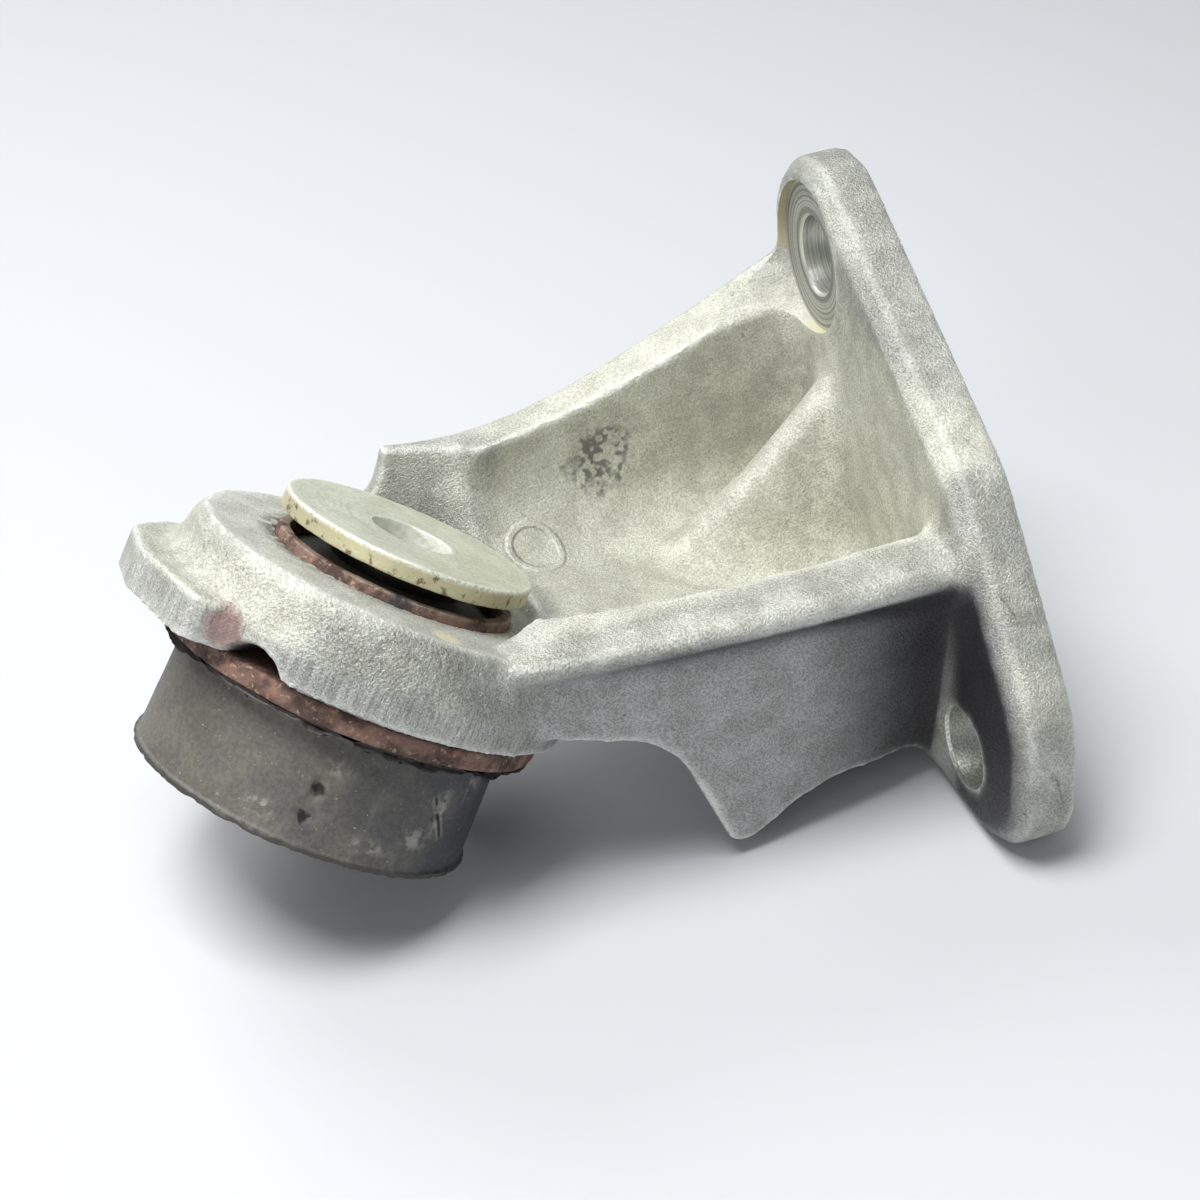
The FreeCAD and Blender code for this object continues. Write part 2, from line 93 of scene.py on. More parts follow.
@dataclass(frozen=True)
class Grain:
    """Seeded lattice noise in space.

    Args:
        size: Width of the largest lumps, in millimetres.
        octaves: Number of layers, each half as large as the one before.
        seed: Number that picks the pattern.
    """
    size: float
    octaves: int = 3
    seed: int = 1

    def _corner(self, cells: Array) -> Array:
        """Random value from 0 to 1 for each whole-numbered place."""
        mixed = (cells[..., 0] * 374761393 + cells[..., 1] * 668265263
                 + cells[..., 2] * 2147483647 + self.seed * 974634777) & 0xFFFFFFFF
        mixed = ((mixed ^ (mixed >> 13)) * 1274126177) & 0xFFFFFFFF
        return ((mixed ^ (mixed >> 16)) & 0xFFFF) / 65535.0

    def _layer(self, points: Array) -> Array:
        """One octave at unit size."""
        base = np.floor(points).astype(np.int64)
        inner = points - base
        inner = inner * inner * (3.0 - 2.0 * inner)
        total = np.zeros(len(points))
        for corner in range(8):
            bits = np.array([corner & 1, corner >> 1 & 1, corner >> 2 & 1])
            weight = np.prod(np.where(bits, inner, 1.0 - inner), axis=-1)
            total += weight * self._corner(base + bits)
        return total

    def at(self, points: Array) -> Array:
        """Noise at points given in millimetres.

        Args:
            points: Array of shape (n, 3).

        Returns:
            Array of n values from 0 to 1.
        """
        total, strength, reach = np.zeros(len(points)), 1.0, 0.0
        for octave in range(self.octaves):
            total += strength * self._layer(points / self.size * 2 ** octave + 17.3 * octave)
            reach += strength
            strength *= 0.5
        return total / reach


# ------------------------------------------------------------------ frame of the bush
@dataclass(frozen=True)
class Bush:
    """Place of the bush: centre of the ring's face, lean of the axis, depth of the ring."""
    centre: tuple = (-89.2, -26.9, -24.0)
    lean_forward: float = 33.8
    lean_back: float = 13.4
    depth: float = 14.5

    @property
    def turn(self) -> Array:
        """Columns are the bush's two cross directions and its axis."""
        back = Matrix.Rotation(math.radians(-self.lean_back), 3, "X")
        forward = Matrix.Rotation(math.radians(self.lean_forward), 3, "Y")
        return np.array(back @ forward)

    def inside(self, points: Array) -> tuple[Array, Array, Array]:
        """Radius, angle and height of points about the bush axis."""
        local = (points - np.array(self.centre)) @ self.turn
        across, up, height = local[:, 0], local[:, 1], local[:, 2]
        return np.hypot(across, up), np.arctan2(up, across), height

    def outside(self, radius: Array, angle: Array, height: Array) -> Array:
        """Points for a radius, angle and height about the bush axis."""
        local = np.stack((radius * np.cos(angle), radius * np.sin(angle), height), axis=1)
        return local @ self.turn.T + np.array(self.centre)


BUSH = Bush()


# ------------------------------------------------------------------ meshes
def linked(name: str, data: bpy.types.ID) -> bpy.types.Object:
    """New object in the scene that shows a mesh, a lamp or a camera."""
    made = bpy.data.objects.new(name, data)
    bpy.context.collection.objects.link(made)
    return made


def new_piece(name: str, mesh: bpy.types.Mesh, node: str) -> bpy.types.Object:
    """Put a mesh in the scene in place of a node.

    Args:
        name: Name of the new object.
        mesh: Its mesh, in metres in the frame's own place.
        node: Node that it stands for.

    Returns:
        The new object.
    """
    piece = linked(name, mesh)
    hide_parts(node)
    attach(piece, BODY)
    LOG.info("%s: %d faces", name, len(mesh.polygons))
    return piece


def keep_values(mesh: bpy.types.Mesh, name: str, values: Array) -> None:
    """Store one number per vertex for the materials."""
    layer = mesh.attributes.new(name, "FLOAT", "POINT")
    layer.data.foreach_set("value", np.clip(values, 0.0, 1.0).astype(np.float32))


def keep_faces(mesh: bpy.types.Mesh, name: str, chosen: Array) -> None:
    """Mark the faces whose corners are all chosen."""
    corners = values_of(mesh.loops, "vertex_index", kind=np.int64)
    starts = values_of(mesh.polygons, "loop_start", kind=np.int64)
    layer = mesh.attributes.new(name, "FLOAT", "FACE")
    whole = np.minimum.reduceat(chosen.astype(np.float32)[corners], starts)
    layer.data.foreach_set("value", whole)


def keep_vectors(mesh: bpy.types.Mesh, name: str, vectors: Array) -> None:
    """Store one vector per vertex for the materials."""
    layer = mesh.attributes.new(name, "FLOAT_VECTOR", "POINT")
    layer.data.foreach_set("vector", vectors.astype(np.float32).ravel())


def values_of(items: object, name: str, width: int = 1, kind: type = float) -> Array:
    """One property of all elements of a mesh, with a row each where it has several parts."""
    values = np.empty(len(items) * width, dtype=kind)
    items.foreach_get(name, values)
    return values.reshape(-1, width) if width > 1 else values


def places_of(mesh: bpy.types.Mesh) -> Array:
    """Vertex places in millimetres."""
    return values_of(mesh.vertices, "co", 3) / MM


def shade_smooth(mesh: bpy.types.Mesh) -> None:
    """Shade every face smooth."""
    mesh.polygons.foreach_set("use_smooth", np.ones(len(mesh.polygons), dtype=bool))


def streak_places(points: Array, reach: float, stretch: float) -> Array:
    """Places on a cylinder about the bush axis, with heights pressed together.

    Noise on them runs in streaks along the axis. The result is in metres.
    """
    _, angle, height = BUSH.inside(points)
    rows = (reach * np.cos(angle), reach * np.sin(angle), height * stretch)
    return np.stack(rows, axis=1) * MM


class Skin:
    """A mesh as arrays, with the smoothing and measuring that a cast surface needs."""

    def __init__(self, mesh: bpy.types.Mesh) -> None:
        """Read places, edges and faces of a mesh."""
        self.mesh = mesh
        self.places = places_of(mesh)
        self.one, self.other = values_of(mesh.edges, "vertices", 2, np.int64).T
        count = len(self.places)
        self.links = np.maximum(np.bincount(self.one, minlength=count)
                                + np.bincount(self.other, minlength=count), 1)

    def around(self, values: Array) -> Array:
        """Mean of each vertex's neighbours.

        Args:
            values: One number or one row per vertex.

        Returns:
            Array of the same shape.
        """
        rows = values.reshape(len(values), -1)
        count = len(rows)
        sums = [np.bincount(self.one, rows[self.other, k], count)
                + np.bincount(self.other, rows[self.one, k], count)
                for k in range(rows.shape[1])]
        return (np.stack(sums, axis=1) / self.links[:, None]).reshape(values.shape)

    def normals(self) -> Array:
        """Unit normals at the vertices."""
        self.write()
        return values_of(self.mesh.vertex_normals, "vector", 3)

    def write(self) -> None:
        """Put the places back into the mesh."""
        self.mesh.vertices.foreach_set("co", (self.places * MM).ravel())
        self.mesh.update()

    def relax(self, rounds: int, share: float, weight: Array | None = None) -> None:
        """Draw every vertex towards its neighbours, which rounds all corners."""
        for _ in range(rounds):
            step = share * (self.around(self.places) - self.places)
            self.places += step if weight is None else step * weight[:, None]

    def fill(self, rounds: int, share: float, weight: Array) -> None:
        """Raise inner corners only, which makes the fillets of a casting."""
        for turn in range(rounds):
            if turn % 4 == 0:
                normals = self.normals()
            step = self.around(self.places) - self.places
            lift = np.maximum(np.einsum("ij,ij->i", step, normals), 0.0)
            self.places += share * (weight * lift)[:, None] * normals

    def blur(self, values: Array, rounds: int) -> Array:
        """Spread one number per vertex over its neighbours."""
        for _ in range(rounds):
            values = 0.5 * values + 0.5 * self.around(values)
        return values


@dataclass(frozen=True)
class Drill:
    """Tool that cuts one hole along X, with a small chamfer where it breaks through.

    Args:
        along: Place of the axis in Y.
        height: Place of the axis in Z.
        radius: Radius of the hole.
        start: X of its deepest end.
        stop: X of its open end.
        chamfer: Width of the chamfers at the two faces, or none.
        faces: X of the faces that carry a chamfer.
    """
    along: float
    height: float
    radius: float
    start: float
    stop: float
    chamfer: float = 0.0
    faces: tuple = ()
    segments: int = 112

    def profile(self) -> list[tuple[float, float]]:
        """Places in X and radii, from the deepest end to the open one."""
        points = [(self.start, 0.0), (self.start, self.radius)]
        for face in self.faces:
            inward = math.copysign(self.chamfer, -face - 5.0)
            ends = [(face + inward, self.radius), (face, self.radius + self.chamfer),
                    (face - inward, self.radius + self.chamfer)]
            points += ends if inward < 0 else ends[::-1]
        return points + [(self.stop, points[-1][1]), (self.stop, 0.0)]

    def build(self) -> bpy.types.Object:
        """Closed mesh of the tool."""
        shape = bmesh.new()
        points = self.profile()
        rings = []
        for place, radius in points[1:-1]:
            ring = []
            for index in range(self.segments):
                angle = 2 * math.pi * index / self.segments
                ring.append(shape.verts.new((place * MM,
                                             (self.along + radius * math.cos(angle)) * MM,
                                             (self.height + radius * math.sin(angle)) * MM)))
            rings.append(ring)
        for first, second in zip(rings, rings[1:]):
            for index in range(self.segments):
                after = (index + 1) % self.segments
                shape.faces.new((first[index], second[index], second[after], first[after]))
        shape.faces.new(rings[0])
        shape.faces.new(rings[-1][::-1])
        bmesh.ops.recalc_face_normals(shape, faces=shape.faces)
        mesh = bpy.data.meshes.new("drill")
        shape.to_mesh(mesh)
        shape.free()
        return linked("drill", mesh)

    def wall(self, places: Array) -> Array:
        """Which places lie on the hole's wall or chamfers."""
        radius = np.hypot(places[:, 1] - self.along, places[:, 2] - self.height)
        low, high = sorted((self.start, self.stop))
        return ((radius < self.radius + self.chamfer + 0.08)
                & (places[:, 0] > low - 0.05) & (places[:, 0] < high + 0.05))


# ------------------------------------------------------------------ casting
@dataclass(frozen=True)
class Casting:
    """Bracket: a cast skin over the node's shape, with its machined holes cut sharp."""
    node: str = "bracket_casting"
    slot: str = "cast_aluminium"
    voxel: float = 0.72
    weld_gap: float = 0.04
    plate: float = -9.5
    bore: float = 19.36
    face_reach: float = 31.0
    sharp_angle: float = 38.0
    spotface: Drill = Drill(0.0, 0.0, 12.7, -8.0, -45.0)
    holes: tuple = (
        Drill(0.0, 0.0, 6.5, -14.0, 3.0, 0.5, (-8.0, 0.0)),
        Drill(-61.2, -57.9, 6.5, -14.0, 3.0, 0.5, (-9.5, 0.0)),
        Drill(2.0, -57.9, 6.5, -14.0, 3.0, 0.5, (-9.5, 0.0)),
    )

    def filled_copy(self) -> bpy.types.Object:
        """Copy of the node as one welded mesh, with plugs in its machined holes."""
        shape = bmesh.new()
        shape.from_mesh(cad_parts[self.node].data)
        bmesh.ops.remove_doubles(shape, verts=shape.verts, dist=1e-6)
        plugs = [Drill(hole.along, hole.height, hole.radius + 0.8, self.plate + 0.1, -0.1)
                 for hole in self.holes]
        plugs.append(Drill(0.0, 0.0, self.spotface.radius + 0.6, self.plate + 0.1,
                           self.spotface.start + 1.0))
        for plug in plugs:
            tool = plug.build()
            shape.from_mesh(tool.data)
            bpy.data.objects.remove(tool)
        mesh = bpy.data.meshes.new("casting_copy")
        shape.to_mesh(mesh)
        shape.free()
        return linked("casting_copy", mesh)

    def applied(self, piece: bpy.types.Object, name: str) -> bpy.types.Mesh:
        """Mesh of an object with its modifiers applied; the object itself goes."""
        graph = bpy.context.evaluated_depsgraph_get()
        mesh = bpy.data.meshes.new_from_object(piece.evaluated_get(graph))
        mesh.name = name
        bpy.data.objects.remove(piece)
        return mesh

    def remeshed(self) -> bpy.types.Mesh:
        """Even mesh over the filled copy."""
        copy = self.filled_copy()
        remesh = copy.modifiers.new("even", "REMESH")
        remesh.mode = "VOXEL"
        remesh.voxel_size = self.voxel * MM
        return self.applied(copy, "casting_skin")

    def fillet_share(self, places: Array) -> Array:
        """How far inner corners fill up: not in the bore or at the ring's foot."""
        radius, _, height = BUSH.inside(places)
        in_ring = gates((radius, 31.0, 28.0), (height, 3.0, 1.0))
        at_foot = gates((height, -10.5, -13.0), (radius, 38.0, 34.0))
        on_ring = 0.6 * gates((radius, 37.0, 35.0), (height, 2.0, 0.5))
        at_rim = 0.85 * gates((places[:, 1], -53.0, -56.0), (places[:, 0], -15.0, -20.0),
                              (np.abs(places[:, 2] + 28.0), 5.0, 3.0))
        return 1.0 - np.max((in_ring, at_foot, on_ring, at_rim), axis=0)

    def flatten(self, skin: Skin) -> None:
        """Put machined faces back on their exact planes and the bore on its cylinder."""
        normals = skin.normals()
        places = skin.places
        mounting = (places[:, 0] > -0.6) & (normals[:, 0] > 0.8)
        places[mounting, 0] = 0.0
        radius, angle, height = BUSH.inside(places)
        axis = BUSH.turn[:, 2]
        rise = normals @ axis
        face = (np.abs(height) < 0.5) & (rise > 0.85) & (radius < self.face_reach)
        height = np.where(face, 0.0, height)
        seat = (np.abs(height + BUSH.depth) < 0.5) & (rise < -0.85) & (radius < self.face_reach)
        height = np.where(seat, -BUSH.depth, height)
        bore = (radius < 20.4) & (height < 0.3) & (height > -15.2) & (np.abs(rise) < 0.75)
        radius = np.where(bore, self.bore, radius)
        moved = face | seat | bore
        places[moved] = BUSH.outside(radius, angle, height)[moved]

    def roughen(self, skin: Skin) -> None:
        """Lumps of a cast skin, kept off the machined faces."""
        normals = skin.normals()
        radius, _, height = BUSH.inside(skin.places)
        ring = smooth_step(radius, 33.0, 31.0) * smooth_step(np.abs(height), 1.5, 0.7)
        plate = smooth_step(skin.places[:, 0], -1.0, -0.3)
        loose = (1.0 - ring) * (1.0 - plate) * smooth_step(radius, 20.5, 22.0)
        lumps = 0.30 * (Grain(12.0, 2, 3).at(skin.places) - 0.5)
        lumps += 0.08 * (Grain(2.6, 2, 5).at(skin.places) - 0.5)
        skin.places += (loose * lumps)[:, None] * normals

    def cut(self, mesh: bpy.types.Mesh) -> bpy.types.Mesh:
        """Cut the machined holes into the skin."""
        piece = linked("casting_cut", mesh)
        tools = [drill.build() for drill in (self.spotface, *self.holes)]
        for tool in tools:
            cut = piece.modifiers.new("cut", "BOOLEAN")
            cut.operation = "DIFFERENCE"
            cut.solver = "MANIFOLD"
            cut.object = tool
        weld = piece.modifiers.new("weld", "WELD")
        weld.merge_threshold = self.weld_gap * MM
        result = self.applied(piece, "bracket_casting_skin")
        for tool in tools:
            bpy.data.objects.remove(tool)
        return result

    def measure(self, mesh: bpy.types.Mesh) -> None:
        """Store edge wear with painted highlight, hollows for soiling and painted shade, painted
        shade of the outer walls and kind of surface for the material.
        """
        skin = Skin(mesh)
        places, normals = skin.places, skin.normals()
        x, y, z = places.T
        radius, angle, height = BUSH.inside(places)
        rise = normals @ BUSH.turn[:, 2]
        step = skin.around(places) - places
        bend = -2.0 * np.einsum("ij,ij->i", step, normals) / self.voxel ** 2
        machined = np.any([hole.wall(places) for hole in self.holes], axis=0).astype(float)
        spot = self.spotface.wall(places) & (x > self.plate - 0.6)
        floor = spot & (np.abs(x - self.spotface.start) < 0.02)
        # Convex edges are lighter: partly edge wear, partly painted highlight lines along the
        # edges.
        keep_values(mesh, "wear", skin.blur(smooth_step(bend, 0.10, 0.42), 2))
        # Depth of hollows, used to darken corners, partly soiling and partly painted shade.
        soft = Skin(mesh)
        soft.relax(34, 1.0)
        depth = np.einsum("ij,ij->i", soft.places - places, normals)
        keep_values(mesh, "hollow", skin.blur(smooth_step(depth, 0.15, 1.6), 3))
        keep_faces(mesh, "machined", machined > 0.5)
        keep_faces(mesh, "spotface", spot)
        keep_faces(mesh, "spot_floor", floor)
        # Painted shade: the outer front wall, the inner corner of the flange and the underside
        # get a darker grey.
        wall = gates((-normals[:, 1], 0.25, 0.7), (z, -25.5, -28.0), (x, -80.0, -74.0),
                     (x, -8.8, -9.6), (y, -46.0, -48.0))
        corner = gates((y, -56.0, -60.0), (-normals[:, 0], 0.6, 0.9), (z, -18.0, -30.0))
        under = gates((-normals[:, 2], 0.3, 0.8), (x, -4.0, -10.0))
        shade_zone = np.maximum(np.maximum(wall, corner), under) * (1.0 - machined)
        keep_values(mesh, "painted_shade", skin.blur(shade_zone, 5))
        # Painted shadow under the rim and towards the flange, the darkest part of the painted
        # shade.
        shade = gates((z, -33.0, -27.0), (x, -78.0, -50.0)) + smooth_step(x, -38.0, -12.0)
        keep_values(mesh, "painted_deep_shade", skin.blur(shade_zone * np.clip(shade, 0.0, 1.0), 5))
        inside = gates((y, -54.5, -51.0), (y, 14.5, 12.5), (z, 0.0, -12.0), (radius, 27.0, 31.0))
        keep_values(mesh, "tray", skin.blur(inside, 4))
        band = gates((np.abs(rise), 0.35, 0.18), (radius, 31.5, 32.2), (radius, 42.0, 40.0),
                     (height, -8.7, -9.3), (x, -70.0, -74.0))
        keep_values(mesh, "band", skin.blur(band, 1))
        sandy = gates((radius, 30.5, 31.5), (radius, 43.0, 40.0), (x, -66.0, -72.0))
        sandy *= 1.0 - band
        keep_values(mesh, "sandy", skin.blur(sandy, 2))
        face = (np.abs(height) < 0.25) & (rise > 0.9) & (radius < 32.0)
        keep_values(mesh, "ring_face", skin.blur(face.astype(float), 2))
        # A darker brown ring on the ring's face round the washer, strongest on one side.
        near_washer = gates((radius, 23.5, 19.6), (np.abs(height), 2.0, 0.8))
        turned = np.degrees(angle)
        side = smooth_step(np.abs(np.abs(turned) - 165.0), 50.0, 15.0)
        keep_values(mesh, "dark_round_washer", near_washer * (0.35 + 0.65 * side))
        keep_vectors(mesh, "streak", streak_places(places, 33.0, 0.06))

    def build(self, finish: bpy.types.Material) -> bpy.types.Object:
        """Build the bracket and dress it."""
        mesh = self.remeshed()
        skin = Skin(mesh)
        skin.relax(1, 0.5)
        skin.fill(60, 0.9, self.fillet_share(skin.places))
        skin.relax(1, 0.5)
        self.flatten(skin)
        self.roughen(skin)
        self.flatten(skin)
        skin.write()
        mesh = self.cut(mesh)
        shade_smooth(mesh)
        mesh.set_sharp_from_angle(angle=math.radians(self.sharp_angle))
        self.measure(mesh)
        mesh.materials.clear()
        mesh.materials.append(finish)
        return new_piece("bracket_casting_skin", mesh, self.node)


# ------------------------------------------------------------------ turned pieces
@dataclass(frozen=True)
class Mark:
    """Local mark on a turned piece: a dent, a nick or a raised flake.

    Args:
        angle: Place about the axis, in degrees.
        height: Place along the axis.
        wide: Half width across.
        tall: Half height.
        depth: Depth, or less than 0 for a raised mark.
        slant: Sideways run per millimetre of height.
    """
    angle: float
    height: float
    wide: float
    tall: float
    depth: float
    slant: float = 0.0

    def share(self, radius: Array, angle: Array, height: Array) -> Array:
        """How strongly each place is marked, from 0 to 1."""
        turn = (angle - math.radians(self.angle) + math.pi) % (2 * math.pi) - math.pi
        rise = height - self.height
        across = (turn * radius - self.slant * rise) / self.wide
        return np.exp(-np.abs(across) ** 2.6 - np.abs(rise / self.tall) ** 2.6)


@dataclass
class Turned:
    """Piece of revolution about the bush axis with a worked surface.

    Args:
        node: Node that it stands for.
        slot: Material slot of the record; not used.
        corners: Radius, height and rounding of each corner of the closed outline.
        step: Distance of points along the outline.
        segments: Number of steps around.
        marks: Local marks.
    """
    node: str
    slot: str
    corners: tuple
    step: float = 0.5
    segments: int = 480
    marks: tuple = ()

    def outline(self) -> tuple[Array, Array]:
        """Points of the outline and its outward directions."""
        corners = np.array([corner[:2] for corner in self.corners])
        count = len(corners)
        points = []
        for i, (here, size) in enumerate(zip(corners, (c[2] for c in self.corners))):
            back = corners[i - 1] - here
            ahead = corners[(i + 1) % count] - here
            back, ahead = back / np.linalg.norm(back), ahead / np.linalg.norm(ahead)
            for share in np.linspace(0.0, 1.0, 5):
                points.append(here + size * ((1 - share) ** 2 * back + share ** 2 * ahead))
        points = np.array(points)
        spread = []
        for here, after in zip(points, np.roll(points, -1, axis=0)):
            length = np.linalg.norm(after - here)
            parts = max(1, round(length / self.step))
            spread += [here + (after - here) * k / parts for k in range(parts)]
        spread = np.array(spread)
        run = np.roll(spread, -1, axis=0) - np.roll(spread, 1, axis=0)
        outward = np.stack((run[:, 1], -run[:, 0]), axis=1)
        area = np.sum(spread[:, 0] * np.roll(spread[:, 1], -1)
                      - np.roll(spread[:, 0], -1) * spread[:, 1])
        outward *= math.copysign(1.0, area)
        return spread, outward / np.maximum(np.linalg.norm(outward, axis=1), 1e-9)[:, None]

    def relief(self, radius: Array, angle: Array, height: Array,
               places: Array) -> Array:
        """How far each point moves outward, in millimetres."""
        return np.zeros(len(radius))

    def measure(self, mesh: bpy.types.Mesh, radius: Array, angle: Array,
                height: Array) -> None:
        """Store values for the material."""

    def build(self, finish: bpy.types.Material) -> bpy.types.Object:
        """Build the piece and dress it."""
        outline, outward = self.outline()
        rows, columns = len(outline), self.segments
        angles = np.linspace(0.0, 2 * math.pi, columns, endpoint=False)
        radius = np.repeat(outline[:, 0], columns)
        height = np.repeat(outline[:, 1], columns)
        angle = np.tile(angles, rows)
        places = BUSH.outside(radius, angle, height)
        move = self.relief(radius, angle, height, places)
        for mark in self.marks:
            move -= mark.depth * mark.share(radius, angle, height)
        radius = radius + move * np.repeat(outward[:, 0], columns)
        height = height + move * np.repeat(outward[:, 1], columns)
        places = BUSH.outside(radius, angle, height)
        row, column = np.divmod(np.arange(rows * columns), columns)
        below = (row + 1) % rows * columns
        after = (column + 1) % columns
        faces = np.stack((row * columns + column, row * columns + after, below + after,
                          below + column), axis=1)
        mesh = bpy.data.meshes.new(f"{self.node}_worked")
        mesh.from_pydata((places * MM).tolist(), [], faces.tolist())
        shape = bmesh.new()
        shape.from_mesh(mesh)
        bmesh.ops.recalc_face_normals(shape, faces=shape.faces)
        shape.to_mesh(mesh)
        shape.free()
        shade_smooth(mesh)
        keep_vectors(mesh, "lathe", np.stack((radius, height, 1.5 * np.cos(angle)), axis=1) * MM)
        keep_vectors(mesh, "streak", streak_places(places, 26.0, 0.2))
        self.measure(mesh, radius, angle, height)
        mesh.materials.append(finish)
        return new_piece(f"{self.node}_worked", mesh, self.node)


class RustySleeve(Turned):
    """Steel sleeve with a rusted flange and a worn upper end."""

    def relief(self, radius: Array, angle: Array, height: Array,
               places: Array) -> Array:
        """Pits and scale on the bare parts; the wall in the bore stays smooth."""
        bare = np.maximum(smooth_step(radius, 20.0, 21.5), smooth_step(height, 0.0, 0.5))
        pits = -0.22 * Grain(1.3, 3, 11).at(places) - 0.25 * (Grain(5.0, 2, 12).at(places) - 0.4)
        return bare * np.minimum(pits, 0.0)

    def measure(self, mesh: bpy.types.Mesh, radius: Array, angle: Array,
                height: Array) -> None:
        """Store the worn end."""
        keep_values(mesh, "end", smooth_step(height, 0.7, 1.3))


class Rubber(Turned):
    """Moulded rubber with a ragged film at its neck and a torn flash round its foot."""

    def relief(self, radius: Array, angle: Array, height: Array,
               places: Array) -> Array:
        """Moulding waves on the cone, with torn edges above and below."""
        cone = smooth_step(height, -18.6, -20.0) * smooth_step(radius, 24.0, 25.2)
        waves = 0.25 * (Grain(6.0, 3, 21).at(places) - 0.5)
        waves += 0.10 * (Grain(1.2, 2, 22).at(places) - 0.5)
        film = smooth_step(radius, 26.2, 30.6) * smooth_step(height, -19.6, -19.0)
        torn = -2.6 * np.clip(Grain(3.0, 3, 23).at(places) - 0.30, 0.0, 1.0)
        foot = smooth_step(height, -36.4, -37.0) * smooth_step(radius, 26.6, 27.3)
        crumbs = -0.8 * np.clip(Grain(1.4, 3, 24).at(places) - 0.42, 0.0, 1.0)
        return cone * waves + film * torn + foot * crumbs

    def measure(self, mesh: bpy.types.Mesh, radius: Array, angle: Array,
                height: Array) -> None:
        """Store the dusty left side, the scuffs, the film and the lip of the foot."""
        turn = np.degrees(angle)
        aside = np.abs((turn + 150.0 + 180.0) % 360.0 - 180.0)
        keep_values(mesh, "dusty", smooth_step(aside, 110.0, 10.0))
        scuffs = (Mark(-64.0, -31.5, 2.2, 1.6, 0.0), Mark(-57.5, -27.0, 1.2, 3.4, 0.0),
                  Mark(-100.0, -24.0, 2.5, 1.0, 0.0), Mark(-80.0, -34.0, 3.0, 0.8, 0.0),
                  Mark(-118.0, -33.5, 2.0, 1.2, 0.0), Mark(-45.0, -22.5, 1.6, 1.8, 0.0))
        pale = np.max([scuff.share(radius, angle, height) for scuff in scuffs], axis=0)
        keep_values(mesh, "scuff", pale)
        film = smooth_step(height, -19.4, -18.8) * smooth_step(radius, 25.8, 27.0)
        keep_values(mesh, "film", film)
        keep_values(mesh, "lip", smooth_step(height, -36.6, -37.0))


class Core(Turned):
    """Thick steel core with a clean bolt passage."""

    def measure(self, mesh: bpy.types.Mesh, radius: Array, angle: Array,
                height: Array) -> None:
        """Store the bare bore."""
        keep_values(mesh, "bore", smooth_step(radius, 8.2, 7.2))


class Washer(Turned):
    """Plated washer with a nicked rim."""

    def relief(self, radius: Array, angle: Array, height: Array,
               places: Array) -> Array:
        """Slight waviness, rough wall of the hole, nicked rim."""
        rim = smooth_step(radius, 19.2, 20.0)
        nicks = -0.28 * np.clip(Grain(2.2, 3, 31).at(places) - 0.45, 0.0, 1.0)
        hole = smooth_step(radius, 7.2, 6.6)
        rough = -0.25 * Grain(0.9, 2, 33).at(places)
        return rim * nicks + hole * rough + 0.05 * (Grain(5.0, 2, 32).at(places) - 0.5)

    def measure(self, mesh: bpy.types.Mesh, radius: Array, angle: Array,
                height: Array) -> None:
        """Store the side, the worn upper edge and the wall of the hole."""
        side = smooth_step(radius, 19.6, 20.1) * smooth_step(height, 6.9, 6.5)
        keep_values(mesh, "side", side)
        keep_values(mesh, "edge", smooth_step(np.hypot(radius - 20.2, height - 7.0), 0.9, 0.25))
        keep_values(mesh, "hole", smooth_step(radius, 7.1, 6.6))


PIECES = {
    "rusty_steel": RustySleeve("outer_sleeve", "rusty_steel", (
        (17.3, 1.5, 0.4), (19.3, 1.5, 0.5), (19.3, -14.5, 0.3), (31.0, -14.5, 0.8),
        (31.0, -18.0, 0.9), (17.3, -18.0, 0.2)), 0.5, 560),
    "bush_rubber": Rubber("rubber_body", "bush_rubber", (
        (10.5, 0.5, 0.2), (17.3, -1.5, 0.2), (17.3, -18.03, 0.1), (30.7, -18.03, 0.1),
        (30.8, -18.45, 0.15), (26.2, -19.2, 0.9), (26.9, -36.5, 0.3), (27.5, -36.9, 0.2),
        (27.5, -37.8, 0.4), (14.5, -37.8, 0.6), (10.5, -35.8, 0.4)), 0.75, 480, (
        Mark(-103.0, -28.0, 1.0, 1.5, 0.9), Mark(-104.0, -32.6, 1.8, 0.8, 0.4, 0.8),
        Mark(-59.0, -27.4, 0.55, 2.8, 0.9, 0.1), Mark(-88.0, -22.0, 0.9, 0.6, 0.35),
        Mark(-125.0, -26.0, 1.2, 0.7, 0.3, 0.5), Mark(-75.0, -35.0, 1.6, 0.5, 0.35))),
    "plain_steel": Core("inner_sleeve", "plain_steel", (
        (6.35, 4.0, 0.5), (10.5, 4.0, 0.4), (10.5, -36.8, 0.5), (6.35, -36.8, 0.5)), 0.8, 160),
    "zinc_steel": Washer("top_washer", "zinc_steel", (
        (6.35, 4.0, 0.3), (20.2, 4.0, 0.4), (20.2, 7.0, 0.5), (6.35, 7.0, 0.35)), 0.4, 560),
}


# ------------------------------------------------------------------ finishes
Socket = bpy.types.NodeSocket


def paint(red: float, green: float, blue: float) -> tuple[float, float, float, float]:
    """Colour from screen values of 0 to 255."""
    parts = [((part / 255 + 0.055) / 1.055) ** 2.4 for part in (red, green, blue)]
    return (*parts, 1.0)


def grey(value: float) -> tuple[float, float, float, float]:
    """Colour with the same value in each channel."""
    return (value, value, value, 1.0)


WHITE = grey(1.0)


class Blend(Enum):
    """How a mix node joins its two colours."""
    MIX = "MIX"
    MULTIPLY = "MULTIPLY"


